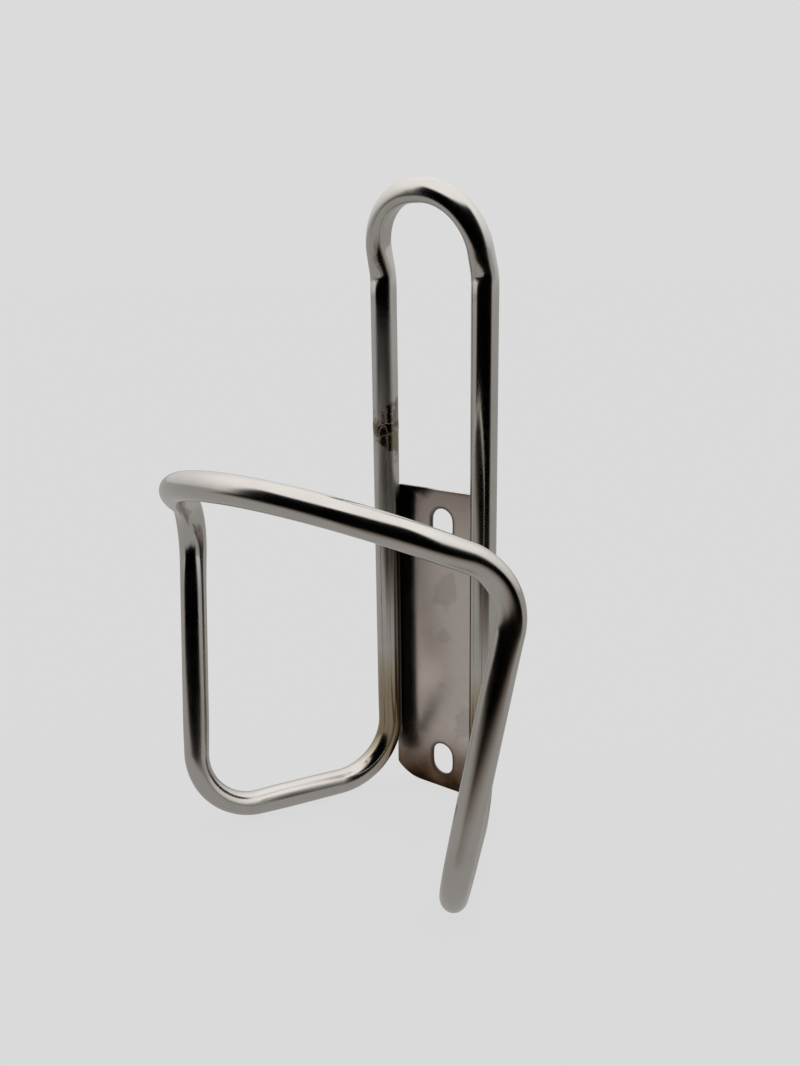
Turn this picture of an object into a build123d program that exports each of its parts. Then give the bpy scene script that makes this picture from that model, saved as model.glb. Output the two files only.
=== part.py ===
"""Bicycle water bottle cage: one bent loop of thin titanium tube, a small slotted plate and its welds.

Frame: the origin is the centre of the two bolt slots on the plate's back face, the face that
sits on the bicycle's down tube. +Z runs up the rails, +X is to the side, and the bottle stands
on the -Y side. Every size is in millimetres.
"""

from build123d import *
import os
from math import cos, radians, sin

# Tube
TUBE_DIAMETER = 6.35
TUBE_WALL = 0.41
TUBE_RADIUS = TUBE_DIAMETER / 2

# Mounting plate and its two slots for M5 bolts
PLATE_WIDTH = 29.6
PLATE_TOP = 41.0
PLATE_BOTTOM = -40.2
PLATE_THICKNESS = 0.9
PLATE_TOP_CORNER = 2.0
PLATE_BOTTOM_CORNER = 10.8
BLANK_WIDTH = 35.8
SLOT_SPACING = 64.0
SLOT_WIDTH = 6.4
SLOT_LENGTH = 8.6

# Rails: the two upright runs that the plate is welded behind
RAIL_SPACING = 29.0
PLATE_GAP = 0.3
RAIL_Y = -(PLATE_THICKNESS + PLATE_GAP + TUBE_RADIUS)

# Top loop: it leans towards the bottle above a kink in each rail
KINK_HEIGHT = 92.5
KINK_RADIUS = 11.4
LOOP_LEAN = 16.0
LOOP_HEIGHT = 19.7
LOOP_RADIUS = 13.8

# Feet: the runs that carry the bottle's base, spreading forward from the rails
HEEL_HEIGHT = -37.8
HEEL_RADIUS = 15.4
TOE_HALF_WIDTH = 37.6
TOE_REACH = 49.0
TOE_HEIGHT = -37.3
TOE_RADIUS = 14.9

# Hoop: an arc round the bottle, in a plane that rises towards the front
HOOP_RADIUS = 44.2
HOOP_WRAP = 109.5
HOOP_TILT = 29.3
HOOP_REACH = 65.8
HOOP_HEIGHT = 53.9
SHOULDER_HALF_WIDTH = 46.6
SHOULDER_RADIUS = 14.3

# Butt weld that closes the loop, on the left rail
JOINT_HEIGHT = 56.0
JOINT_GAP = 0.6
BEAD_WIDTH = 3.2
BEAD_CROWN = 0.15

# Fillet welds along the plate's side edges
SEAM_LENGTH = 14.0
SEAM_INSET = 5.0
SEAM_RADIUS = 1.1
SEAM_EDGE_OFFSET = 0.1
SEAM_FACE_OFFSET = 0.55


def loop_corner():
    """Corner of the top loop's outline on the right side, before it is rounded."""
    lean = radians(LOOP_LEAN)
    return Vector(
        RAIL_SPACING / 2,
        RAIL_Y - LOOP_HEIGHT * sin(lean),
        KINK_HEIGHT + LOOP_HEIGHT * cos(lean),
    )


def hoop_corners():
    """Where the hoop's end tangents meet in front, and its right shoulder corner."""
    tilt = radians(HOOP_TILT)
    half_wrap = radians(HOOP_WRAP / 2)
    forward = Vector(0, -cos(tilt), sin(tilt))
    front = Vector(0, RAIL_Y - HOOP_REACH, HOOP_HEIGHT)
    tip = front + forward * (HOOP_RADIUS / cos(half_wrap) - HOOP_RADIUS)
    back = Vector(cos(half_wrap), 0, 0) - forward * sin(half_wrap)
    shoulder = tip + back * (SHOULDER_HALF_WIDTH / cos(half_wrap))
    return tip, shoulder


def right_side():
    """Corners and bend radii of the tube's right side, from the top loop to the shoulder."""
    tip, shoulder = hoop_corners()
    heel = Vector(RAIL_SPACING / 2, RAIL_Y, HEEL_HEIGHT)
    kink = Vector(RAIL_SPACING / 2, RAIL_Y, KINK_HEIGHT)
    toe = Vector(TOE_HALF_WIDTH, RAIL_Y - TOE_REACH, TOE_HEIGHT)
    return [
        (loop_corner(), LOOP_RADIUS),
        (kink, KINK_RADIUS),
        (heel, HEEL_RADIUS),
        (toe, TOE_RADIUS),
        (shoulder, SHOULDER_RADIUS),
    ], tip


def tube_path():
    """Centreline of the tube: from the top edge of the butt joint, round the loop, to its lower edge."""
    side, tip = right_side()
    mirrored = [(Vector(-p.X, p.Y, p.Z), r) for p, r in side]
    upper = Vector(-RAIL_SPACING / 2, RAIL_Y, JOINT_HEIGHT + JOINT_GAP / 2)
    lower = Vector(-RAIL_SPACING / 2, RAIL_Y, JOINT_HEIGHT - JOINT_GAP / 2)
    left_top = list(reversed(mirrored[:2]))
    left_front = list(reversed(mirrored[2:]))
    corners = left_top + side + [(tip, HOOP_RADIUS)] + left_front
    points = [upper] + [p for p, _ in corners] + [lower]
    return FilletPolyline(*points, radius=[r for _, r in corners])


def make_tube(path):
    """The bent tube: a ring-shaped section carried along the centreline."""
    plane = Plane(origin=path @ 0, z_dir=path % 0)
    ring = plane * (Circle(TUBE_RADIUS) - Circle(TUBE_RADIUS - TUBE_WALL))
    return sweep(ring, path=path)


def make_plate():
    """Flat plate with two upright slots, trimmed at its sides from a wider round-cornered blank."""
    height = PLATE_TOP - PLATE_BOTTOM
    blank = Rectangle(BLANK_WIDTH, height)
    blank = fillet(blank.vertices().sort_by(Axis.Y)[:2], PLATE_BOTTOM_CORNER)
    outline = blank & Rectangle(PLATE_WIDTH, height)
    outline = fillet(outline.vertices().sort_by(Axis.Y)[-2:], PLATE_TOP_CORNER)
    outline = Pos(0, (PLATE_TOP + PLATE_BOTTOM) / 2) * outline
    for height in (-SLOT_SPACING / 2, SLOT_SPACING / 2):
        slot = SlotOverall(SLOT_LENGTH, SLOT_WIDTH, rotation=90)
        outline -= Pos(0, height) * slot
    return extrude(Plane.XZ * outline, PLATE_THICKNESS)


def make_butt_weld():
    """Bead that fills the gap between the tube's ends and stands a little proud all round."""
    bore = TUBE_RADIUS - TUBE_WALL
    half_gap = JOINT_GAP / 2
    half_width = BEAD_WIDTH / 2
    crown = Line((TUBE_RADIUS, -half_gap), (TUBE_RADIUS, -half_width))
    crown += ThreePointArc(
        (TUBE_RADIUS, -half_width),
        (TUBE_RADIUS + BEAD_CROWN, 0),
        (TUBE_RADIUS, half_width),
    )
    crown += Polyline(
        (TUBE_RADIUS, half_width),
        (TUBE_RADIUS, half_gap),
        (bore, half_gap),
        (bore, -half_gap),
        (TUBE_RADIUS, -half_gap),
    )
    section = make_face(Plane.XZ * crown)
    ring = revolve(section, Axis.Z)
    return Pos(-RAIL_SPACING / 2, RAIL_Y, JOINT_HEIGHT) * ring


def make_seam(side, height):
    """Fillet weld in the crevice between a rail and the plate's side edge."""
    x = side * (PLATE_WIDTH / 2 - SEAM_EDGE_OFFSET)
    y = -PLATE_THICKNESS - SEAM_FACE_OFFSET
    bead = Pos(x, y, height) * Cylinder(SEAM_RADIUS, SEAM_LENGTH)
    rail = Pos(side * RAIL_SPACING / 2, RAIL_Y, height) * Cylinder(TUBE_RADIUS, 2 * SEAM_LENGTH)
    plate = Pos(0, -PLATE_THICKNESS / 2, height) * Box(PLATE_WIDTH, PLATE_THICKNESS, 2 * SEAM_LENGTH)
    return bead - rail - plate


def make_parts():
    """Every separate piece of the cage, by name."""
    parts = {
        "cage_tube": make_tube(tube_path()),
        "mounting_plate": make_plate(),
        "tube_butt_weld": make_butt_weld(),
    }
    upper = PLATE_TOP - SEAM_INSET - SEAM_LENGTH / 2
    lower = PLATE_BOTTOM + PLATE_BOTTOM_CORNER + SEAM_LENGTH / 2
    for name, side in (("left", -1), ("right", 1)):
        parts[f"plate_weld_upper_{name}"] = make_seam(side, upper)
        parts[f"plate_weld_lower_{name}"] = make_seam(side, lower)
    return parts


os.makedirs("parts", exist_ok=True)
for node, solid in make_parts().items():
    solid.label = node
    export_step(solid, f"parts/{node}.step")
    size = solid.bounding_box().size
    print(f"{node}: {solid.volume:.0f} mm3, {size.X:.1f} x {size.Y:.1f} x {size.Z:.1f} mm")
print(f"tube length {tube_path().length:.0f} mm")
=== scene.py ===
# %% [markdown]
# # A bottle cage bent from one titanium tube
# One thin tube, taken to be a quarter of an inch across, is bent into a closed loop, and its two
# ends are welded together on the left rail. A small slotted plate is welded behind the two rails,
# and bolts through its slots hold the cage on a bicycle. There is no paint: everything that the
# eye sees is bare metal, its polish, and what bending and welding did to it. How each mark came
# about is read from its looks, not known.
#
# The measured model comes first, as a fixed frame. Every piece below stands where the frame says.

# %% Load the frame
import math

import bpy
import numpy as np
from mathutils import Matrix, Vector


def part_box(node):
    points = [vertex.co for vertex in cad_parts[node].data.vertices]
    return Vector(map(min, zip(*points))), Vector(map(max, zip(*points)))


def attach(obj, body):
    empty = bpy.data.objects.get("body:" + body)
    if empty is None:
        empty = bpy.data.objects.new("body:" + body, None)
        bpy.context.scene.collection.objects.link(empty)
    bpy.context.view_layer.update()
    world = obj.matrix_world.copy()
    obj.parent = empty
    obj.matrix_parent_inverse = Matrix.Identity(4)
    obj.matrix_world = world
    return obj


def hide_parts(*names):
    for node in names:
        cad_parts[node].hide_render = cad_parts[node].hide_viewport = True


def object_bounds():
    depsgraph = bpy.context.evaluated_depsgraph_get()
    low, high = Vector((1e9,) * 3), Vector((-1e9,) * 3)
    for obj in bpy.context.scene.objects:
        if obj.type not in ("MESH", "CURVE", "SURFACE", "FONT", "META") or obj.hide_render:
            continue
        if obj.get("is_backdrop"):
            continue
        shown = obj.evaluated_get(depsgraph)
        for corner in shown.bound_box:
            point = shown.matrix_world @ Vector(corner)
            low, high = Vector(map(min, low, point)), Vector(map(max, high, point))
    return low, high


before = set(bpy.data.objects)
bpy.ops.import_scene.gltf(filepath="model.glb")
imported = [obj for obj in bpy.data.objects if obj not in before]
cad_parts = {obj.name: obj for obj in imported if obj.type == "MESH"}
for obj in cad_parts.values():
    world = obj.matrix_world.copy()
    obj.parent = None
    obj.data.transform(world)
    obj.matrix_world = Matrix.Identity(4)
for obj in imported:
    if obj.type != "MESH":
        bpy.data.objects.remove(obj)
cad_low, cad_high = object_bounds()
MM = 0.001  # the frame is in metres, and the sizes below are in millimetres

print("pieces in the frame:", sorted(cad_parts))
print("box in mm:", [round(v / MM, 1) for v in (*cad_low, *cad_high)])

# %% [markdown]
# ## The bend sheet
# A tube bender works from a list of corners and the radius of the former for each one. The
# joint, the rails and the plate can be read off the frame: the weld's box is centred on the left
# rail, so its middle gives the rail spacing and how far the rails stand in front of the plate.
# The bends themselves are a few driving sizes, the same on both sides.

# %% Read the rails and the plate off the frame
weld_low, weld_high = (np.array(corner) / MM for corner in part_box("tube_butt_weld"))
plate_low, plate_high = (np.array(corner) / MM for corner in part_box("mounting_plate"))
joint = (weld_low + weld_high) / 2
RAIL_X = -joint[0]
RAIL_Y = joint[1]
TUBE_RADIUS = 6.35 / 2

print("rails at x = +/-", round(RAIL_X, 2), "y =", round(RAIL_Y, 2), "joint at z =", round(joint[2], 2))

# %% Driving sizes of the bends, in millimetres and degrees
KINK_HEIGHT, KINK_RADIUS = 92.5, 11.4
LOOP_LEAN, LOOP_HEIGHT, LOOP_RADIUS = 16.0, 19.7, 13.8
HEEL_HEIGHT, HEEL_RADIUS = -37.8, 15.4
TOE_HALF_WIDTH, TOE_REACH, TOE_HEIGHT, TOE_RADIUS = 37.6, 49.0, -37.3, 14.9
HOOP_RADIUS, HOOP_WRAP, HOOP_TILT = 44.2, 109.5, 29.3
HOOP_REACH, HOOP_HEIGHT = 65.8, 53.9
SHOULDER_HALF_WIDTH, SHOULDER_RADIUS = 46.6, 14.3


def bend_sheet():
    """Corners of the closed loop and their radii, from the joint up and round to the joint again.

    The hoop's two end tangents meet in front at its tip, one radius over the cosine of half its
    wrap from its centre, and each shoulder lies back along a tangent from there.
    """
    lean, tilt, half = map(math.radians, (LOOP_LEAN, HOOP_TILT, HOOP_WRAP / 2))
    forward = np.array([0, -math.cos(tilt), math.sin(tilt)])
    front = np.array([0, RAIL_Y - HOOP_REACH, HOOP_HEIGHT])
    tip = front + forward * HOOP_RADIUS * (1 / math.cos(half) - 1)
    back = np.array([math.cos(half), 0, 0]) - forward * math.sin(half)
    shoulder = tip + back * SHOULDER_HALF_WIDTH / math.cos(half)
    loop = (RAIL_X, RAIL_Y - LOOP_HEIGHT * math.sin(lean), KINK_HEIGHT + LOOP_HEIGHT * math.cos(lean))
    right = [
        (loop, LOOP_RADIUS),
        ((RAIL_X, RAIL_Y, KINK_HEIGHT), KINK_RADIUS),
        ((RAIL_X, RAIL_Y, HEEL_HEIGHT), HEEL_RADIUS),
        ((TOE_HALF_WIDTH, RAIL_Y - TOE_REACH, TOE_HEIGHT), TOE_RADIUS),
        (tuple(shoulder), SHOULDER_RADIUS),
    ]
    left = [((-point[0], *point[1:]), radius) for point, radius in right]
    corners = left[1::-1] + right + [(tuple(tip), HOOP_RADIUS)] + left[:1:-1]
    return np.array([point for point, _ in corners]), np.array([radius for _, radius in corners])


corners, radii = bend_sheet()
print(len(corners), "bends, with radii in mm:", radii.round(1))

# %% [markdown]
# ## The tube's centreline
# A wire like this could be a Blender curve with a bevel, but then the section would stay a
# perfect circle everywhere, and real bends are not like that. So the line is worked out here: a
# straight run, an arc tangent to both runs, a straight run. With the line go two directions that
# the section needs, one that is carried along without twisting, and one towards the centre of
# the nearest bend.

# %% Walk along the runs and arcs
RUN_STEP, BEND_STEP = 0.8, 0.45  # distance between two sections, in mm


def unit(v):
    """The vector made one long."""
    return v / np.linalg.norm(v, axis=-1, keepdims=True)


def turned(v, axis, angle):
    """Rodrigues' rotation: v turned about axis, once for each angle, as rows."""
    c, s = np.cos(angle)[:, None], np.sin(angle)[:, None]
    return v * c + np.cross(axis, v) * s + axis * (axis @ v) * (1 - c)


def centreline(corners, radii, start):
    """Points of the line, its tangents, an untwisted side direction, and each arc's index range.

    At a corner the arc touches both runs at radius times tan(half the turn) from the corner. Its
    points are the arc's first point, turned about the arc's centre.
    """
    line, along, side, arcs = [], [], [], []
    here = start
    heading = unit(corners[0] - start)
    steady = np.array([1.0, 0, 0])
    count = 0
    for i, (corner, radius) in enumerate(zip(corners, radii)):
        target = corners[i + 1] if i + 1 < len(corners) else start
        leaving = unit(target - corner)
        turn = math.acos(np.clip(heading @ leaving, -1, 1))
        first = corner - heading * radius * math.tan(turn / 2)
        rows = max(2, round(np.linalg.norm(first - here) / RUN_STEP))
        share = np.arange(rows)[:, None] / rows
        line.append(here + (first - here) * share)
        along.append(np.repeat(heading[None], rows, 0))
        side.append(np.repeat(steady[None], rows, 0))
        count += rows
        axis = unit(np.cross(heading, leaving))
        inward = np.cross(axis, heading)
        rows = max(6, round(turn * radius / BEND_STEP))
        angle = turn * np.arange(rows) / rows
        centre = first + inward * radius
        line.append(centre + turned(-inward * radius, axis, angle))
        along.append(turned(heading, axis, angle))
        side.append(turned(steady, axis, angle))
        arcs.append((count, count + rows - 1, turned(inward, axis, angle), turn))
        count += rows
        here = corner + leaving * radius * math.tan(turn / 2)
        steady = turned(steady, axis, np.array([turn]))[0]
        heading = leaving
    rows = max(2, round(np.linalg.norm(start - here) / RUN_STEP))
    share = np.linspace(0, 1, rows)[:, None]
    line.append(here + (start - here) * share)
    along.append(np.repeat(heading[None], rows, 0))
    side.append(np.repeat(steady[None], rows, 0))
    return np.vstack(line), np.vstack(along), np.vstack(side), arcs


line, along, side, arcs = centreline(corners, radii, joint)
distance = np.r_[0, np.cumsum(np.linalg.norm(np.diff(line, axis=0), axis=1))]
print(len(line), "sections along", round(distance[-1]), "mm of tube")

# %% [markdown]
# ## What bending does to a tube
# A thin tube flattens a little in every bend: it gets thinner towards the centre of the bend and
# wider across it. In the two tight kinks of the rails the wall on the inside has nowhere to go,
# so it folds into a small dimple with a lip on either side. Both are radial moves of the section,
# so they are written as a function of the distance along the tube and the angle round it.
# Flattening is a share of the radius. Where it is negative, the section is a little longer towards
# the centre of the bend instead. The shares were chosen by how the reflections run.

# %% Flattening, leaning and dimples
NAMES = ["kink", "loop", "loop", "kink", "heel", "right toe", "shoulder", "hoop", "shoulder", "toe", "heel"]
FLATTEN = {
    "loop": 0.2,
    "kink": 0.03,
    "heel": 0.06,
    "right toe": -0.07,
    "toe": 0.1,
    "shoulder": 0.06,
    "hoop": -0.03,
}
LEAN = {"loop": 0.3, "shoulder": -0.42}  # how far the sides lean, as a share of the radius
EASE = 8.5  # mm over which a section goes from round to flattened
DIMPLE_DEPTH, DIMPLE_LENGTH, DIMPLE_ANGLE = 0.42, 1.8, 31.0  # mm, mm and degrees
LIP_HEIGHT, LIP_PLACE, LIP_LENGTH = 0.07, 3.6, 1.6  # mm


def smooth_step(t):
    """0 below 0, 1 above 1, and a smooth s-curve between."""
    t = np.clip(t, 0, 1)
    return t * t * (3 - 2 * t)


def bell(t):
    """The bell curve exp(-t squared)."""
    return np.exp(-t * t)


def section_radius(radial):
    """Radius for each section and angle: round, less the flattening, less the dimples' depth.

    Flattening takes a share off the radius where it points at the bend's centre and gives part of
    it back at right angles: cos squared and sin squared of the angle to the bend's plane. The
    lean, cos times sin squared, moves the widest place towards the bend's centre or away from it.
    """
    radius = np.full(radial.shape[:2], TUBE_RADIUS)
    index = np.arange(len(line))
    for name, (first, last, inward, _) in zip(NAMES, arcs):
        toward = inward[np.clip(index, first, last) - first]
        cosine = np.einsum("ijk,ik->ij", radial, toward)
        reach = smooth_step((distance - distance[first] + EASE) / (2 * EASE))
        reach = reach * smooth_step((distance[last] + EASE - distance) / (2 * EASE))
        share = FLATTEN[name] * reach[:, None]
        lean = LEAN.get(name, 0.0) * reach[:, None]
        radius *= 1 - share * cosine**2 + (0.5 * share + lean * cosine) * (1 - cosine**2)
        if name == "kink":
            middle = (distance[first] + distance[last]) / 2
            angle = np.degrees(np.arccos(np.clip(cosine, -1, 1)))
            wedge = bell(angle / DIMPLE_ANGLE)
            gap = (distance - middle)[:, None]
            lips = bell((abs(gap) - LIP_PLACE) / LIP_LENGTH)
            radius -= wedge * (DIMPLE_DEPTH * bell(gap / DIMPLE_LENGTH) - LIP_HEIGHT * lips)
    return radius


print("bends in order:", ", ".join(NAMES))

# %% Meshes from grids of points


def make_piece(name, points, faces, smooth=True):
    """A mesh object at the origin, from points in millimetres and faces as an array of indices."""
    mesh = bpy.data.meshes.new(name)
    mesh.from_pydata((np.asarray(points) * MM).tolist(), [], [list(face) for face in faces])
    mesh.polygons.foreach_set("use_smooth", np.full(len(mesh.polygons), smooth))
    mesh.validate()
    mesh.update()
    piece = bpy.data.objects.new(name, mesh)
    bpy.context.scene.collection.objects.link(piece)
    return piece


def roll_faces(rows, columns, closed=False):
    """Quads of a grid that is joined round its columns, and round its rows too where closed.

    Corner (i, j) is point i times columns plus j. Each quad goes forward one column, then one row.
    """
    i, j = np.meshgrid(np.arange(rows if closed else rows - 1), np.arange(columns), indexing="ij")
    ahead, beside = (i + 1) % rows, (j + 1) % columns
    quads = [i * columns + j, i * columns + beside, ahead * columns + beside, ahead * columns + j]
    return np.stack(quads, axis=-1).reshape(-1, 4)


def end_caps(rows, columns):
    """One flat face for each end of a rolled grid, so that the shell is closed."""
    return [list(range(columns))[::-1], list(range((rows - 1) * columns, rows * columns))]


print("a grid of 3 rows round 4 columns has", len(roll_faces(3, 4)), "quads")

# %% Build the tube's skin
AROUND = 88  # faces round the tube

angles = np.linspace(0, 2 * math.pi, AROUND, endpoint=False)
across = np.cross(along, side)
radial = side[:, None] * np.cos(angles)[:, None] + across[:, None] * np.sin(angles)[:, None]
tube_radius = section_radius(radial)
skin = line[:, None] + radial * tube_radius[..., None]
tube_faces = list(roll_faces(len(line), AROUND)) + end_caps(len(line), AROUND)
tube = make_piece("bent_tube", skin.reshape(-1, 3), tube_faces)
print("tube skin:", len(tube.data.polygons), "faces, radius", tube_radius.min().round(2), "to",
      tube_radius.max().round(2), "mm")

# %% [markdown]
# ## Straight coordinates for the metal's grain
# The polishing lines, the scuffs and the colours left by heat follow the tube round its bends. A
# pattern on plain Object coordinates would run straight through the bends instead. So each point
# of the skin also keeps the place that it had before bending: x and y round the section, and z
# along the tube. There is no seam in it, because it goes round as a circle does. Three numbers go
# with it: how far a point is from the joint, how far from a lower weld, and how deep it lies in
# the crevice between rail and plate, which faces backwards and inwards and gets a painted shade.

# %% Keep each point's place on the straight tube
FAR = 1000.0  # mm, farther than any point is from a weld
INWARD_SHARE = 0.5  # what facing the other rail counts for, against facing backwards
CREVICE_START, CREVICE_SPAN = 0.2, 0.25  # how far backwards a wall faces where it starts to be dark
CREVICE_FOOT, CREVICE_HEAD = 6.0, 3.0  # mm over which the dark fades at the plate's lower and upper end


def keep(name, values):
    """One number for each point of the skin, kept on the mesh under that name."""
    made = tube.data.attributes.new(name, "FLOAT", "POINT")
    made.data.foreach_set("value", values.astype(np.float32).ravel())


straight = np.empty_like(skin)
straight[..., 0] = TUBE_RADIUS * np.cos(angles)
straight[..., 1] = TUBE_RADIUS * np.sin(angles)
straight[..., 2] = distance[:, None]
attribute = tube.data.attributes.new("straight_tube", "FLOAT_VECTOR", "POINT")
attribute.data.foreach_set("vector", (straight * MM).astype(np.float32).ravel())
from_joint = np.minimum(distance, distance[-1] - distance)[:, None] + np.zeros(AROUND)
keep("from_joint", from_joint * MM)
from_seam = np.full(skin.shape[:2], FAR)
for node in ("plate_weld_lower_left", "plate_weld_lower_right"):
    low, high = (np.array(corner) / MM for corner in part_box(node))
    outside = abs(skin - (low + high) / 2) - [0, 0, (high[2] - low[2]) / 2]
    from_seam = np.minimum(from_seam, np.linalg.norm(np.maximum(outside, 0), axis=-1))
keep("from_seam", from_seam * MM)
# Painted shade: the sides of the rails that face the plate, down in the crevice, are marked here to be
# painted nearly black.
inward = -np.sign(skin[..., 0]) * radial[..., 0]
facing_plate = smooth_step((radial[..., 1] + INWARD_SHARE * inward - CREVICE_START) / CREVICE_SPAN)
on_rail = abs(skin[..., 1] - RAIL_Y) < 2 * TUBE_RADIUS
above_foot = smooth_step((skin[..., 2] - plate_low[2]) / CREVICE_FOOT)
below_head = smooth_step((plate_high[2] - skin[..., 2]) / CREVICE_HEAD)
keep("crevice_painted_shade", facing_plate * on_rail * above_foot * below_head)
print("straight coordinates run to", round(straight[..., 2].max()), "mm")

# %% [markdown]
# ## The weld that closes the loop
# A welder laid a narrow bead round the joint, a dip at a time, and then dressed it almost flush
# with the tube, so only a trace of its ripples is left. It is a profile carried round the tube: a
# very low crown outside and a return under the skin, closed both ways.

# %% Build the butt weld
BEAD_HALF_WIDTH, BEAD_CROWN, BEAD_ROOT = 1.5, 0.07, 0.35
BEAD_RIPPLE, BEAD_PITCH = 0.012, 1.4
SLOW_SWAY, QUICK_SWAY = 0.45, 0.2  # mm that the bead wanders up and down, twice and five times round
BEAD_ROWS, BEAD_COLUMNS = 260, 20


def bead_ring():
    """Radius = tube + crown * (1 - v squared), with ripples of the bead's pitch leaning with v."""
    turn = np.linspace(0, 2 * math.pi, BEAD_ROWS, endpoint=False)[:, None]
    outer = np.linspace(-1, 1, BEAD_COLUMNS - 4)
    v = np.r_[outer, np.linspace(1, -1, 4)][None, :]
    under = np.r_[np.zeros(BEAD_COLUMNS - 4), np.ones(4)][None, :]
    waves = round(2 * math.pi * TUBE_RADIUS / BEAD_PITCH)
    ripple = BEAD_RIPPLE * np.cos(waves * turn + 1.6 * v * v) * (1 - v * v)
    sway = SLOW_SWAY * np.sin(2 * turn + 1.0) + QUICK_SWAY * np.sin(5 * turn)
    top = TUBE_RADIUS + BEAD_CROWN * (1 - v**2) + ripple
    radius = np.where(under > 0, TUBE_RADIUS - BEAD_ROOT, top)
    height = joint[2] + BEAD_HALF_WIDTH * v * (1 + 0.08 * np.cos(waves * turn)) + sway
    x = joint[0] + radius * np.cos(turn)
    y = joint[1] + radius * np.sin(turn)
    return np.stack(np.broadcast_arrays(x, y, height), axis=-1)


bead = make_piece("butt_weld_bead", bead_ring().reshape(-1, 3), roll_faces(BEAD_ROWS, BEAD_COLUMNS, True))
print("bead:", len(bead.data.polygons), "faces")

# %% [markdown]
# ## The mounting plate
# The plate is cut from sheet less than a millimetre thick, with its two slots, and its edges are
# only just broken with a file. Each half is a ring of metal round its slot, so the blank is two
# rings that share the middle line: one direction goes round, the other goes out from the slot to
# the outline. Solidify gives the gauge and Bevel the filed edge.

# %% The plate's outline and slots
SLOT_WIDTH, SLOT_LENGTH, SLOT_SPACING = 6.4, 8.6, 64.0
TOP_CORNER, BOTTOM_CORNER = 2.0, 10.8
BOTTOM_CENTRE = 7.1  # mm from the middle line to the centre of a lower corner's arc
FILED_EDGE = 0.16
SIDE_POINTS, CORNER_POINTS, RINGS = 18, 9, 8


def side_run(start, end):
    """Evenly spaced points along a straight side, without its last one."""
    share = np.arange(SIDE_POINTS)[:, None] / SIDE_POINTS
    return np.array(start) * (1 - share) + np.array(end) * share


def corner_run(centre, radius, first, last):
    """Points of an arc from the first angle to the last, without its last one."""
    turn = np.radians(first + (last - first) * np.arange(CORNER_POINTS) / CORNER_POINTS)
    return np.array(centre) + radius * np.stack([np.cos(turn), np.sin(turn)], axis=-1)


def half_outline(h, corner, centre):
    """Half of the plate's outline, from its middle line outwards, as x and height above it.

    The side cuts each corner's arc where radius times cos(angle) reaches it from the centre.
    """
    w = plate_high[0]
    first = math.degrees(math.acos(min(1.0, (w - centre) / corner)))
    cut = h - corner + corner * math.sin(math.radians(first))
    return np.vstack([
        side_run((-w, 0), (w, 0)),
        side_run((w, 0), (w, cut)),
        corner_run((centre, h - corner), corner, first, 90),
        side_run((centre, h), (-centre, h)),
        corner_run((-centre, h - corner), corner, 90, 180 - first),
        side_run((-w, cut), (-w, 0)),
    ])


def slot_outline():
    """The slot, started and divided as the outline is, so that the two can be joined."""
    r, straight_half = SLOT_WIDTH / 2, (SLOT_LENGTH - SLOT_WIDTH) / 2
    turn = np.radians(np.r_[
        225 + 90 * np.arange(SIDE_POINTS) / SIDE_POINTS,
        315 + 70 * np.arange(SIDE_POINTS) / SIDE_POINTS,
        25 + 40 * np.arange(CORNER_POINTS) / CORNER_POINTS,
        65 + 50 * np.arange(SIDE_POINTS) / SIDE_POINTS,
        115 + 40 * np.arange(CORNER_POINTS) / CORNER_POINTS,
        155 + 70 * np.arange(SIDE_POINTS) / SIDE_POINTS,
    ])
    height = r * np.sin(turn) + straight_half * np.clip(np.sin(turn) * 4, -1, 1)
    return np.stack([r * np.cos(turn), SLOT_SPACING / 2 + height], axis=-1)


def half_blank(outer, way):
    """Rings between the slot and the outline; way is +1 for the upper half and -1 for the lower."""
    inner = slot_outline()
    share = (np.linspace(0, 1, RINGS) ** 1.6)[:, None, None]
    flat = inner * (1 - share) + outer * share
    height = flat[..., 1] * way
    return np.stack([flat[..., 0], np.zeros(height.shape), height], axis=-1)


columns = len(slot_outline())
print("points round each slot:", columns)

# %% Build the plate
quads = roll_faces(RINGS, columns)
upper = half_blank(half_outline(plate_high[2], TOP_CORNER, plate_high[0] - TOP_CORNER), 1)
lower = half_blank(half_outline(-plate_low[2], BOTTOM_CORNER, BOTTOM_CENTRE), -1)
blank = np.vstack([upper.reshape(-1, 3), lower.reshape(-1, 3)])
blank_faces = np.vstack([quads[:, ::-1], quads + RINGS * columns])
_, first_use, place = np.unique(blank.round(4), axis=0, return_index=True, return_inverse=True)
plate = make_piece("slotted_plate", blank[first_use], place.reshape(-1)[blank_faces])
sheet_gauge = plate.modifiers.new("gauge", "SOLIDIFY")
sheet_gauge.thickness = -plate_low[1] * MM
sheet_gauge.offset = 1
filed = plate.modifiers.new("filed edge", "BEVEL")
filed.width, filed.segments, filed.limit_method = FILED_EDGE * MM, 3, "ANGLE"
plate.modifiers.new("flat faces stay flat", "WEIGHTED_NORMAL")
print("plate blank:", len(plate.data.polygons), "faces")

# %% [markdown]
# ## The four welds on the plate
# Short fillet welds fill the crevice between each rail and the side edge of the plate. Each is a
# rippled bead that tapers to its ends: a circle carried up a straight line, with a radius that
# swells and shrinks once for every dip of the rod.

# %% Build the plate welds
SEAM_RADIUS, SEAM_EDGE_OFFSET, SEAM_FACE_OFFSET = 1.1, 0.1, 0.55
SEAM_PITCH, SEAM_RIPPLE = 0.9, 0.09
SEAM_WANDER, SEAM_TIP = 0.08, 0.06  # mm off its line, and the share of its radius left at the ends
SEAM_ROWS, SEAM_COLUMNS = 90, 24
SEAM_NODES = [name for name in sorted(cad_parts) if name.startswith("plate_weld")]


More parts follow.
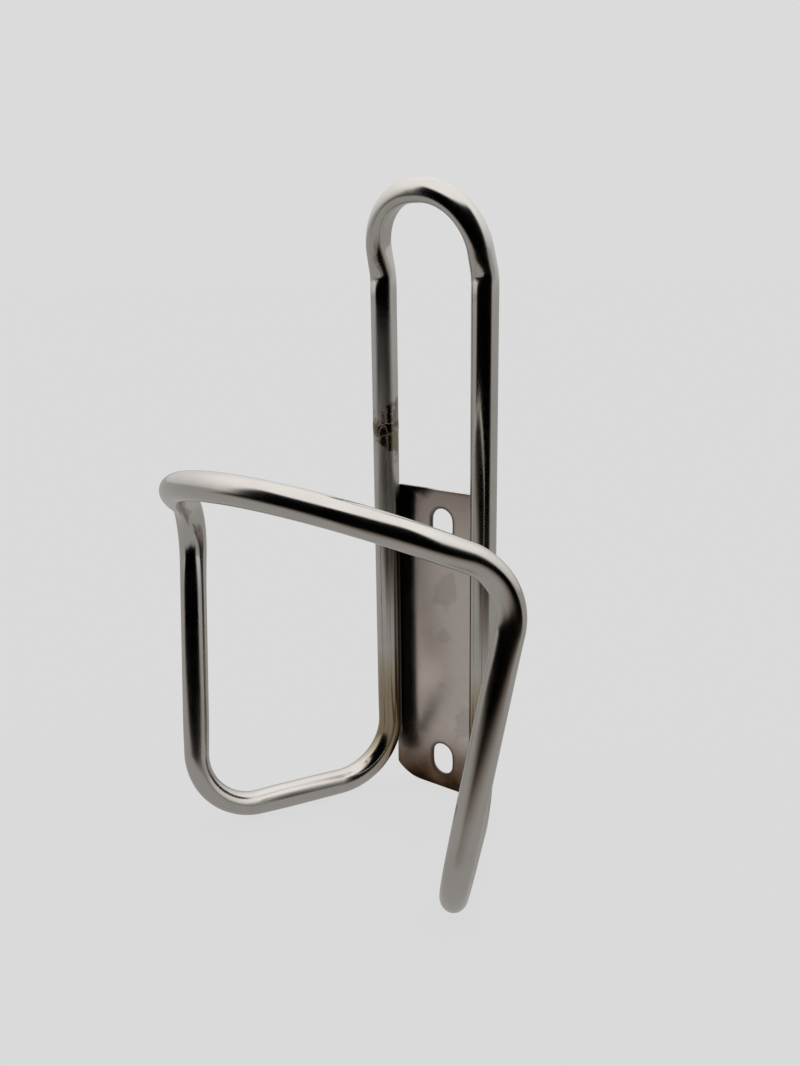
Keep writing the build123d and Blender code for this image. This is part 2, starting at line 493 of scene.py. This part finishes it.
def seam_bead(node, seed):
    """Radius = the seam's own * end taper * (1 - ripple * |sin| of the pitch)."""
    low, high = (np.array(corner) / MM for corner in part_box(node))
    x = math.copysign(plate_high[0] - SEAM_EDGE_OFFSET, low[0])
    y = plate_low[1] - SEAM_FACE_OFFSET
    t = np.linspace(0, 1, SEAM_ROWS)
    height = low[2] + (high[2] - low[2]) * (0.5 - 0.5 * np.cos(math.pi * t))
    taper = np.sqrt(np.clip(1 - (2 * (height - low[2]) / (high[2] - low[2]) - 1) ** 6, 0, 1))
    ripple = 1 - SEAM_RIPPLE * abs(np.sin(math.pi * height / SEAM_PITCH + seed))
    ring = (SEAM_RADIUS * ripple * (SEAM_TIP + (1 - SEAM_TIP) * taper))[:, None]
    turn = np.linspace(0, 2 * math.pi, SEAM_COLUMNS, endpoint=False)[None, :]
    wander = SEAM_WANDER * np.sin(height * 0.9 + seed)[:, None]
    points = np.broadcast_arrays(x + ring * np.cos(turn), y + wander + ring * np.sin(turn), height[:, None])
    return np.stack(points, axis=-1)


seams = []
for seed, node in enumerate(SEAM_NODES):
    faces = list(roll_faces(SEAM_ROWS, SEAM_COLUMNS)) + end_caps(SEAM_ROWS, SEAM_COLUMNS)
    points = seam_bead(node, seed).reshape(-1, 3)
    seams.append(make_piece(node.replace("plate_weld", "rippled_weld"), points, faces))
print("plate welds:", [seam.name for seam in seams])

# %% [markdown]
# ## Helpers for the metal
# Colours are written as a painter's program shows them and turned to linear light once, here. One
# small function adds a shader node, sets its values and joins its inputs.

# %% Colour and node helpers


def linear(code):
    """An sRGB hex colour as linear red, green, blue and alpha."""
    channels = [int(code[i:i + 2], 16) / 255 for i in (1, 3, 5)]
    return [c / 12.92 if c <= 0.04045 else ((c + 0.055) / 1.055) ** 2.4 for c in channels] + [1.0]


def add(tree, kind, inputs=None, **settings):
    """A new node of that kind. A socket among inputs is linked, anything else is its value."""
    node = tree.nodes.new("ShaderNode" + kind)
    for name, value in settings.items():
        setattr(node, name, value)
    for key, value in (inputs or {}).items():
        if isinstance(value, bpy.types.NodeSocket):
            tree.links.new(value, node.inputs[key])
        else:
            node.inputs[key].default_value = value
    return node


def ramp(tree, factor, stops, interpolation="LINEAR"):
    """A colour ramp through (place, hex colour) stops."""
    node = add(tree, "ValToRGB", {"Fac": factor})
    node.color_ramp.interpolation = interpolation
    elements = node.color_ramp.elements
    while len(elements) < len(stops):
        elements.new(0.5)
    for element, (place, code) in zip(elements, stops):
        element.position, element.color = place, linear(code)
    return node.outputs["Color"]


def new_material(name):
    """An empty material with a Principled shader joined to its output."""
    material = bpy.data.materials.new(name)
    material.use_nodes = True
    tree = material.node_tree
    tree.nodes.clear()
    shader = add(tree, "BsdfPrincipled")
    output = add(tree, "OutputMaterial", {"Surface": shader.outputs["BSDF"]})
    output.is_active_output = True
    return material, tree, shader


print("white is", linear("#ffffff"))

# %% [markdown]
# ## The tube's metal: titanium, drawn and then polished along its length
# Titanium is a darker and warmer grey than steel. It was drawn through a die and then rubbed with
# an abrasive pad, which leaves fine lines along it, a few hundredths of a millimetre apart. They
# are drawn ten times coarser here so that they show. Handling adds duller patches. The welder
# brushed the rail with a wire brush on both sides of the joint, so its mirror
# is blurred there, and the joint itself kept a clear dark film of oxide with a broken edge. Along
# the plate's lower welds the film is thinner, so it is straw and light brown. The sides of the
# rails that face the plate, down in the crevice, get a painted shade that is nearly black.

# %% Fades, blends and the film's reach
TITANIUM_LIGHT, TITANIUM_DARK = "#cdc9c4", "#bbb6b0"
LINE_SPACING = 0.35  # mm between polishing lines, ten times the real ones
BRUSHED_REACH = (20.0, 34.0)  # mm from the joint where the brushed length starts and ends its fade
FILM_REACH = 7.0  # mm from the joint to the broken edge of its oxide film
FILM_FADE = (3.0, 5.8)  # mm from the joint where the film starts and ends its fade
FILM_RAGGED = 3.2  # mm that the film's edge wanders, each way
FILM_SIDE = 50.0  # degrees round the tube to the film's widest place, from the carried side direction
SEAM_FILM_REACH = 15.0  # mm from a plate weld to where its straw film ends
SEAM_FILM_STREAK = 4.0  # mm that the straw film's end wanders from line to line, each way
BRUSHED_ROUGH = 0.2  # how much rougher the brushed length is


def fade(tree, value, start, end):
    """1 up to the start and 0 from the end, both in millimetres, with a smooth curve between."""
    return add(tree, "MapRange", {"Value": value, "From Min": start * MM, "From Max": end * MM,
                                  "To Min": 1.0, "To Max": 0.0},
               interpolation_type="SMOOTHSTEP").outputs["Result"]


def blend(tree, factor, a, b, blend_type="MIX"):
    """Colour a turned into colour b by the factor."""
    mix = add(tree, "Mix", {"Factor": factor, "A": a, "B": b}, data_type="RGBA", blend_type=blend_type)
    return mix.outputs["Result"]


def calc(tree, operation, a, b):
    """One sum, difference, product or the like of two values or sockets."""
    return add(tree, "Math", {0: a, 1: b}, operation=operation).outputs[0]


print("the dark film fades", FILM_FADE, "mm from the joint")

# %% Make the tube's metal


def make_tube_metal():
    """Metal colour and roughness from lines, patches, the welds' heat colours and a painted shade in the
    crevice.
    """
    material, tree, shader = new_material("titanium tube, drawn and polished")
    grain = add(tree, "Attribute", attribute_name="straight_tube").outputs["Vector"]
    drawn = add(tree, "Mapping", {"Vector": grain, "Scale": (1, 1, 0.02)})
    lines = add(tree, "TexNoise", {"Vector": drawn.outputs[0], "Scale": 1 / (LINE_SPACING * MM),
                                   "Detail": 3.0})
    patches = add(tree, "TexNoise", {"Vector": grain, "Scale": 90.0, "Detail": 4.0, "Roughness": 0.6})
    ragged = add(tree, "TexNoise", {"Vector": grain, "Scale": 260.0, "Detail": 3.0, "Roughness": 0.7})
    colour = blend(tree, patches.outputs["Fac"], linear(TITANIUM_LIGHT), linear(TITANIUM_DARK))
    near = add(tree, "Attribute", attribute_name="from_joint").outputs["Fac"]
    wobble = add(tree, "MapRange", {"Value": ragged.outputs["Fac"], "From Min": 0.3, "From Max": 0.7,
                                    "To Min": -FILM_RAGGED * MM, "To Max": FILM_RAGGED * MM})
    wobble = wobble.outputs["Result"]
    aside = math.radians(FILM_SIDE)
    turned_away = add(tree, "VectorMath", {0: grain, 1: (-math.cos(aside), -math.sin(aside), 0)},
                      operation="DOT_PRODUCT").outputs["Value"]
    edge = calc(tree, "ADD", calc(tree, "ADD", near, wobble), turned_away)
    film = fade(tree, edge, *FILM_FADE)
    depth = calc(tree, "DIVIDE", edge, FILM_REACH * MM)
    oxide = ramp(tree, depth, [(0.0, "#c4bdac"), (0.2, "#bdb79b"), (0.4, "#c0b3a0"), (0.55, "#c6b2b6"),
                               (0.75, "#a08c92"), (1.0, "#7d6b6e")])
    colour = blend(tree, film, colour, blend(tree, 1.0, colour, oxide, "MULTIPLY"))
    streaky = add(tree, "MapRange", {"Value": lines.outputs["Fac"], "To Min": -SEAM_FILM_STREAK * MM,
                                     "To Max": SEAM_FILM_STREAK * MM})
    seam = calc(tree, "ADD", add(tree, "Attribute", attribute_name="from_seam").outputs["Fac"],
                streaky.outputs["Result"])
    straw = ramp(tree, calc(tree, "DIVIDE", seam, SEAM_FILM_REACH * MM),
                 [(0.0, "#a8926e"), (0.3, "#c4b08c"), (0.6, "#e6dcc6"), (1.0, "#ffffff")])
    colour = blend(tree, 1.0, colour, straw, "MULTIPLY")
    # Painted shade, nearly black, on the rail sides that face the plate.
    crevice = add(tree, "Attribute", attribute_name="crevice_painted_shade").outputs["Fac"]
    colour = blend(tree, crevice, colour, linear("#241f1c"))
    tree.links.new(colour, shader.inputs["Base Color"])
    shader.inputs["Metallic"].default_value = 1.0
    rough = add(tree, "MapRange", {"Value": patches.outputs["Fac"], "From Min": 0.3, "From Max": 0.7,
                                   "To Min": 0.12, "To Max": 0.2}).outputs["Result"]
    streaked = add(tree, "MapRange", {"Value": lines.outputs["Fac"], "To Min": -0.02, "To Max": 0.02})
    brushed = calc(tree, "SUBTRACT", fade(tree, near, *BRUSHED_REACH), film)
    duller = calc(tree, "MULTIPLY", calc(tree, "MAXIMUM", brushed, 0.0), BRUSHED_ROUGH)
    rough = calc(tree, "ADD", calc(tree, "ADD", rough, streaked.outputs["Result"]), duller)
    tree.links.new(rough, shader.inputs["Roughness"])
    bump = add(tree, "Bump", {"Height": lines.outputs["Fac"], "Strength": 0.08, "Distance": 0.00004})
    tree.links.new(bump.outputs["Normal"], shader.inputs["Normal"])
    return material


tube_metal = make_tube_metal()
tube.data.materials.append(tube_metal)
print("finish:", tube_metal.name)

# %% [markdown]
# ## The plate's metal: titanium sheet, rolled bright
# Sheet comes from the rolling mill nearly as bright as a mirror, but not quite flat, so the rail
# beside it is reflected as a dark band with a soft, slightly wavy edge. Handling left a few faint
# smudges. By the upper left corner that band is widened with a painted reflection of the rail,
# nearly black. The colour is also darker and browner towards the lower edge, and darker round
# the edge of each slot.

# %% Smudges, painted reflections and slot rims
# Each place is x and z, each reach is half the width and half the height, all in mm.
SMUDGES = [((1.5, 16.0), (4.0, 6.5)), ((0.5, 2.5), (2.4, 2.8)), ((8.0, -21.0), (3.0, 4.5))]
# Painted reflection: the rail's dark reflection by the upper left corner, as two nearly black ellipses.
PAINTED_RAIL_REFLECTIONS = [((-13.5, 41.5), (8.0, 11.5)), ((-8.0, 42.5), (7.5, 4.5))]
RIM_WIDTH = 1.1  # mm of darker metal round each slot
BROWN_REACH = 17.0  # mm above the lower edge where the darker brown ends
SMUDGE_RAGGED, SMUDGE_STRENGTH, SMUDGE_ROUGH = 4.0, 0.2, 0.2
RIM_STRENGTH, PAINTED_REFLECTION_STRENGTH = 0.85, 0.97


def blots(tree, where, raggedness, places):
    """1 in the middle of each ellipse and 0 outside all of them, with ragged soft edges."""
    total = 0.0
    for (x, z), (wide, high) in places:
        off = add(tree, "VectorMath", {0: where, 1: (x * MM, 0, z * MM)}, operation="SUBTRACT")
        off = add(tree, "VectorMath", {0: off.outputs[0], 1: (wide * MM, 1, high * MM)}, operation="DIVIDE")
        reach = add(tree, "VectorMath", {0: off.outputs[0]}, operation="LENGTH").outputs["Value"]
        reach = calc(tree, "ADD", reach, raggedness)
        spot = add(tree, "MapRange", {"Value": reach, "From Min": 1.0, "From Max": 0.55},
                   interpolation_type="SMOOTHSTEP")
        total = calc(tree, "MAXIMUM", total, spot.outputs["Result"])
    return total


def slot_rim(tree, where):
    """1 at a slot's edge, 0 from the rim's width on: distance to the slot's middle line, less its radius."""
    axes = add(tree, "SeparateXYZ", {"Vector": where})
    above = calc(tree, "SUBTRACT", add(tree, "Math", {0: axes.outputs["Z"]}, operation="ABSOLUTE").outputs[0],
                 SLOT_SPACING / 2 * MM)
    above = calc(tree, "SUBTRACT", add(tree, "Math", {0: above}, operation="ABSOLUTE").outputs[0],
                 (SLOT_LENGTH - SLOT_WIDTH) / 2 * MM)
    offset = add(tree, "CombineXYZ", {"X": axes.outputs["X"], "Z": calc(tree, "MAXIMUM", above, 0.0)})
    away = add(tree, "VectorMath", {0: offset.outputs[0]}, operation="LENGTH").outputs["Value"]
    return fade(tree, away, SLOT_WIDTH / 2, SLOT_WIDTH / 2 + RIM_WIDTH)


print(len(SMUDGES), "smudges and", len(PAINTED_RAIL_REFLECTIONS), "painted_reflections")

# %% Make the plate's metal


def make_sheet_metal():
    """Bright metal with smudges, a painted reflection of the rail by the upper left corner, and a brown that
    deepens towards the lower edge.
    """
    material, tree, shader = new_material("titanium sheet, rolled bright")
    where = add(tree, "TexCoord").outputs["Object"]
    clouds = add(tree, "TexNoise", {"Vector": where, "Scale": 110.0, "Detail": 5.0, "Roughness": 0.62})
    cloud = clouds.outputs["Fac"]
    rolled = add(tree, "Mapping", {"Vector": where, "Scale": (1, 1, 0.04)})
    grain = add(tree, "TexNoise", {"Vector": rolled.outputs[0], "Scale": 2500.0, "Detail": 2.0})
    raggedness = add(tree, "MapRange", {"Value": cloud, "From Min": 0.3, "From Max": 0.7,
                                        "To Min": -0.25, "To Max": 0.25}).outputs["Result"]
    colour = blend(tree, cloud, linear("#ddd3cc"), linear("#cfc5be"))
    # Darker and browner towards the lower edge, down to nearly black-brown at the edge itself.
    height = add(tree, "SeparateXYZ", {"Vector": where}).outputs["Z"]
    low = add(tree, "MapRange", {"Value": height, "From Min": plate_low[2] * MM,
                                 "From Max": (plate_low[2] + BROWN_REACH) * MM}).outputs["Result"]
    low = calc(tree, "ADD", low, calc(tree, "MULTIPLY", raggedness, 0.5))
    oxide = ramp(tree, low, [(0.0, "#35261a"), (0.1, "#57432f"), (0.3, "#8a7868"), (0.55, "#b8aca3"),
                             (0.8, "#ece9e6"), (1.0, "#ffffff")])
    colour = blend(tree, 1.0, colour, oxide, "MULTIPLY")
    torn = calc(tree, "MULTIPLY", raggedness, SMUDGE_RAGGED)
    smudge = calc(tree, "MULTIPLY", blots(tree, where, torn, SMUDGES), SMUDGE_STRENGTH)
    colour = blend(tree, smudge, colour, linear("#8f8781"))
    # Darker brown round the edge of each slot.
    rim = calc(tree, "MULTIPLY", slot_rim(tree, where), RIM_STRENGTH)
    colour = blend(tree, rim, colour, linear("#4a3b31"))
    # Painted reflection of the rail, nearly black, by the upper left corner.
    painted_reflection = blots(tree, where, raggedness, PAINTED_RAIL_REFLECTIONS)
    colour = blend(tree, calc(tree, "MULTIPLY", painted_reflection, PAINTED_REFLECTION_STRENGTH), colour, linear("#1c1614"))
    tree.links.new(colour, shader.inputs["Base Color"])
    shader.inputs["Metallic"].default_value = 1.0
    rough = add(tree, "MapRange", {"Value": cloud, "From Min": 0.3, "From Max": 0.7,
                                   "To Min": 0.16, "To Max": 0.22}).outputs["Result"]
    rough = calc(tree, "ADD", rough, calc(tree, "MULTIPLY", smudge, SMUDGE_ROUGH))
    tree.links.new(rough, shader.inputs["Roughness"])
    buckled = calc(tree, "ADD", calc(tree, "MULTIPLY", grain.outputs["Fac"], 0.02), cloud)
    bump = add(tree, "Bump", {"Height": buckled, "Strength": 0.25, "Distance": 0.00008})
    tree.links.new(bump.outputs["Normal"], shader.inputs["Normal"])
    return material


sheet_metal = make_sheet_metal()
plate.data.materials.append(sheet_metal)
print("finish:", sheet_metal.name)

# %% [markdown]
# ## The welds' metal: titanium, melted and cooled under gas
# The bead itself froze from liquid, so it is smooth and bright on its crests, with a thin film of
# straw and blue oxide in the hollows between the ripples.

# %% Make the welds' metal


def make_weld_metal():
    """Bright metal with oxide colours that follow a fine noise."""
    material, tree, shader = new_material("titanium weld, cooled under gas")
    where = add(tree, "TexCoord").outputs["Object"]
    film = add(tree, "TexNoise", {"Vector": where, "Scale": 420.0, "Detail": 4.0})
    colour = ramp(tree, film.outputs["Fac"], [(0.3, "#6b6068"), (0.45, "#8b7a6a"), (0.6, "#a8a096"),
                                              (0.75, "#b9a27c")])
    tree.links.new(colour, shader.inputs["Base Color"])
    shader.inputs["Metallic"].default_value = 1.0
    rough = add(tree, "MapRange", {"Value": film.outputs["Fac"], "To Min": 0.18, "To Max": 0.38})
    tree.links.new(rough.outputs["Result"], shader.inputs["Roughness"])
    bump = add(tree, "Bump", {"Height": film.outputs["Fac"], "Strength": 0.2, "Distance": 0.00006})
    tree.links.new(bump.outputs["Normal"], shader.inputs["Normal"])
    return material


weld_metal = make_weld_metal()
for piece in seams:
    piece.data.materials.append(weld_metal)
print("finish:", weld_metal.name)

# %% [markdown]
# ## The dressed joint
# On the joint the film is thickest, so the bead is nearly as dark as its oxide, and only the tops
# of the ripples that the file has touched are bare.

# %% Make the joint's metal


def make_dressed_weld():
    """Dark film, with bare metal where a stretched noise is highest."""
    material, tree, shader = new_material("titanium weld, filmed and dressed")
    where = add(tree, "TexCoord").outputs["Object"]
    slanted = add(tree, "Mapping", {"Vector": where, "Rotation": (0, math.radians(30), 0),
                                    "Scale": (1, 1, 4)})
    scratches = add(tree, "TexNoise", {"Vector": slanted.outputs[0], "Scale": 160.0, "Detail": 2.0})
    colour = ramp(tree, scratches.outputs["Fac"], [(0.0, "#6a5f5b"), (0.58, "#7d7468"), (0.72, "#b5aca3")])
    tree.links.new(colour, shader.inputs["Base Color"])
    shader.inputs["Metallic"].default_value = 1.0
    rough = add(tree, "MapRange", {"Value": scratches.outputs["Fac"], "From Min": 0.5, "From Max": 0.7,
                                   "To Min": 0.14, "To Max": 0.3}).outputs["Result"]
    tree.links.new(rough, shader.inputs["Roughness"])
    return material


dressed_weld = make_dressed_weld()
bead.data.materials.append(dressed_weld)
print("finish:", dressed_weld.name)

# %% [markdown]
# ## Tie every piece to the frame
# Each new piece rides on the one body and stands for its measured solid, which is hidden.

# %% Ride and replace
STANDS_FOR = {
    tube: ("cage_tube", "tube_titanium"),
    plate: ("mounting_plate", "plate_titanium"),
    bead: ("tube_butt_weld", "weld_titanium"),
}
STANDS_FOR.update({seam: (node, "weld_titanium") for seam, node in zip(seams, SEAM_NODES)})
for piece, (node, finish) in STANDS_FOR.items():
    low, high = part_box(node)
    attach(piece, "root")
    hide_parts(node)
    own = np.array([vertex.co for vertex in piece.data.vertices])
    gap = max(abs(own.min(0) - low).max(), abs(own.max(0) - high).max()) / MM
    print(f"{piece.name} stands for {node}, boxes within {gap:.2f} mm")

# %% [markdown]
# ## Studio
# Polished metal shows its surroundings, not a colour of its own, so the studio makes the picture:
# pale walls all round, a brighter ceiling, and a dark opening on the side where one looks in.
# That opening draws the black band down the middle of every tube. The sheet of paper that the
# cage stands on ends a hand's width in front of it and farther off on the left, and the table
# beyond is dark. To the eye, the floor and the backdrop are one flat pale grey.

# %% The dark opening, shared by the walls and the floor
PALE = "#dbdbdb"
OPENING_SIDES = (-39.0, 88.0)  # degrees of azimuth, from straight in front towards +x
OPENING_SOFTNESS = 7.5  # degrees over which either side fades, both ways
OPENING_TOP = (0.70, 0.83)  # sine of the elevation where the opening starts and ends its fade
PAPER_EDGE = (105.0, 235.0)  # mm from the middle of the cage, where the paper fades to the table
PAPER_LEFT = 2.3  # how many times farther the paper reaches on the opening's left side
PAPER_FRONT = 15.0  # degrees of azimuth where that extra reach ends
PAPER_LIGHT = 0.44  # how bright the paper is to the metal, against 1 for white
TABLE_SIDE = -46.0  # degrees of azimuth where the dark table starts, near the paper
TABLE_REACH = (350.0, 700.0)  # mm over which that side swings to the opening's own


def azimuth_of(tree, direction):
    """Angle of a direction about the upright: radians, 0 straight in front, positive towards +x."""
    axes = add(tree, "SeparateXYZ", {"Vector": direction})
    return calc(tree, "ARCTAN2", axes.outputs["X"], calc(tree, "MULTIPLY", axes.outputs["Y"], -1.0))


def opening(tree, azimuth, left):
    """1 where the azimuth lies between the left side and the right side, soft between."""
    soft, right = math.radians(OPENING_SOFTNESS), math.radians(OPENING_SIDES[1])
    past_left = add(tree, "MapRange", {"Value": calc(tree, "SUBTRACT", azimuth, left), "From Min": -soft,
                                       "From Max": soft}, interpolation_type="SMOOTHSTEP")
    before_right = add(tree, "MapRange", {"Value": azimuth, "From Min": right + soft,
                                          "From Max": right - soft}, interpolation_type="SMOOTHSTEP")
    return calc(tree, "MULTIPLY", past_left.outputs["Result"], before_right.outputs["Result"])


print("opening between azimuths", OPENING_SIDES)

# %% Floor
SHADOW_SHARE = 0.05  # how much of the floor's look is lit by the studio, and so takes a shadow


def make_floor():
    """Rings of points round the cage, far wider than any view of it."""
    ring = np.radians(np.arange(0, 360, 5))
    reach = np.array([20.0, 100.0, 400.0, 1500.0, 6000.0])[:, None]
    x, y = reach * np.cos(ring), reach * np.sin(ring)
    points = np.stack([x, y, np.full(x.shape, cad_low[2] / MM)], axis=-1).reshape(-1, 3)
    faces = list(roll_faces(len(reach), len(ring))) + [list(range(len(ring)))]
    made = make_piece("floor", points, faces, smooth=False)
    made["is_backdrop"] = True
    return made


def make_paper():
    """To the eye flat pale grey with a faint shadow, to the metal a dimmer sheet that ends in front."""
    material = bpy.data.materials.new("pale seamless paper")
    material.use_nodes = True
    tree = material.node_tree
    tree.nodes.clear()
    eye = add(tree, "LightPath").outputs["Is Camera Ray"]
    glow = add(tree, "Emission", {"Color": linear(PALE), "Strength": 1.0})
    shade = add(tree, "BsdfDiffuse", {"Color": linear("#d0d0d0")})
    seen = add(tree, "MixShader", {"Fac": SHADOW_SHARE, 1: glow.outputs[0], 2: shade.outputs[0]})
    where = add(tree, "TexCoord").outputs["Object"]
    away = add(tree, "VectorMath", {0: where}, operation="LENGTH").outputs["Value"]
    left = add(tree, "MapRange", {"Value": away, "From Min": TABLE_REACH[0] * MM,
                                  "From Max": TABLE_REACH[1] * MM, "To Min": math.radians(TABLE_SIDE),
                                  "To Max": math.radians(OPENING_SIDES[0])})
    azimuth = azimuth_of(tree, where)
    stretch = add(tree, "MapRange", {"Value": azimuth, "From Min": math.radians(OPENING_SIDES[0]),
                                     "From Max": math.radians(PAPER_FRONT), "To Min": PAPER_LEFT,
                                     "To Max": 1.0})
    on_paper = fade(tree, calc(tree, "DIVIDE", away, stretch.outputs["Result"]), *PAPER_EDGE)
    dark = calc(tree, "MULTIPLY", opening(tree, azimuth, left.outputs["Result"]),
                calc(tree, "SUBTRACT", 1.0, on_paper))
    level = add(tree, "Mix", {"Factor": dark, "A": PAPER_LIGHT, "B": 0.0}, data_type="FLOAT")
    tint = ramp(tree, dark, [(0.0, "#fffdfb"), (0.5, "#fff1e4"), (1.0, "#efd2b6")])
    sheet = add(tree, "Emission", {"Color": tint, "Strength": level.outputs["Result"]})
    mixed = add(tree, "MixShader", {"Fac": eye, 1: sheet.outputs[0], 2: seen.outputs[0]})
    add(tree, "OutputMaterial", {"Surface": mixed.outputs[0]})
    return material


floor = make_floor()
floor.data.materials.append(make_paper())
print("floor at z =", round(cad_low[2] / MM, 1), "mm")

# %% Walls and ceiling


def make_surroundings():
    """World light by direction: dim walls, bright ceiling, black opening, flat grey to the eye."""
    world = bpy.data.worlds.new("light tent")
    world.use_nodes = True
    tree = world.node_tree
    tree.nodes.clear()
    direction = add(tree, "TexCoord").outputs["Generated"]
    inside = opening(tree, azimuth_of(tree, direction), math.radians(OPENING_SIDES[0]))
    height = add(tree, "SeparateXYZ", {"Vector": direction}).outputs["Z"]
    under = add(tree, "MapRange", {"Value": height, "From Min": OPENING_TOP[1], "From Max": OPENING_TOP[0]},
                interpolation_type="SMOOTHSTEP")
    dark = calc(tree, "MULTIPLY", inside, under.outputs["Result"])
    wall = add(tree, "MapRange", {"Value": height, "From Min": -0.2, "From Max": 0.75,
                                  "To Min": 0.5, "To Max": 1.35})
    level = add(tree, "Mix", {"Factor": dark, "A": wall.outputs["Result"], "B": 0.0},
                data_type="FLOAT")
    tent = add(tree, "Background", {"Color": linear("#ffffff"), "Strength": level.outputs["Result"]})
    plain = add(tree, "Background", {"Color": linear(PALE), "Strength": 1.0})
    eye = add(tree, "LightPath").outputs["Is Camera Ray"]
    mixed = add(tree, "MixShader", {"Fac": eye, 1: tent.outputs[0], 2: plain.outputs[0]})
    add(tree, "OutputWorld", {"Surface": mixed.outputs[0]})
    return world


bpy.context.scene.world = make_surroundings()
bpy.context.scene.view_settings.view_transform = "Standard"
print("world:", bpy.context.scene.world.name)

# %% [markdown]
# ## Camera
# The camera stands about a quarter of a metre away, to the right and a little above, with a lens
# that is short for its distance, so the near side of the cage looks clearly larger than the far one.

# %% Place the camera
CAMERA_AZIMUTH, CAMERA_ELEVATION, CAMERA_ROLL = 37.46, 15.04, -0.77  # degrees
CAMERA_DISTANCE, CAMERA_LENS = 263.85, 34.95  # mm
AIM = (-11.33, -3.28, 28.89)  # mm, the point that the camera looks at


def make_camera():
    """Back = the direction from the aim to the camera; right and up follow, then roll turns them."""
    az, el, roll = map(math.radians, (CAMERA_AZIMUTH, CAMERA_ELEVATION, CAMERA_ROLL))
    back = Vector((math.sin(az) * math.cos(el), -math.cos(az) * math.cos(el), math.sin(el)))
    right = Vector((math.cos(az), math.sin(az), 0))
    up = back.cross(right)
    level = Matrix((right, up, back)).transposed()
    data = bpy.data.cameras.new("camera")
    data.lens, data.sensor_width = CAMERA_LENS, 36.0
    data.clip_start = 0.01
    camera = bpy.data.objects.new("camera", data)
    bpy.context.scene.collection.objects.link(camera)
    camera.matrix_world = Matrix.Translation((Vector(AIM) + back * CAMERA_DISTANCE) * MM) @ (
        level @ Matrix.Rotation(roll, 3, "Z")).to_4x4()
    return camera


bpy.context.scene.camera = make_camera()
print("camera at", [round(v / MM, 1) for v in bpy.context.scene.camera.matrix_world.translation], "mm")

# %% [markdown]
# ## The box at the end
# The finished pieces must fill the same box as the measured model, so their box is printed as the measured
# one was at the start.

# %% Print the box
bpy.context.view_layer.update()
low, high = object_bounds()
print("box in mm:", [round(v / MM, 1) for v in (*low, *high)])
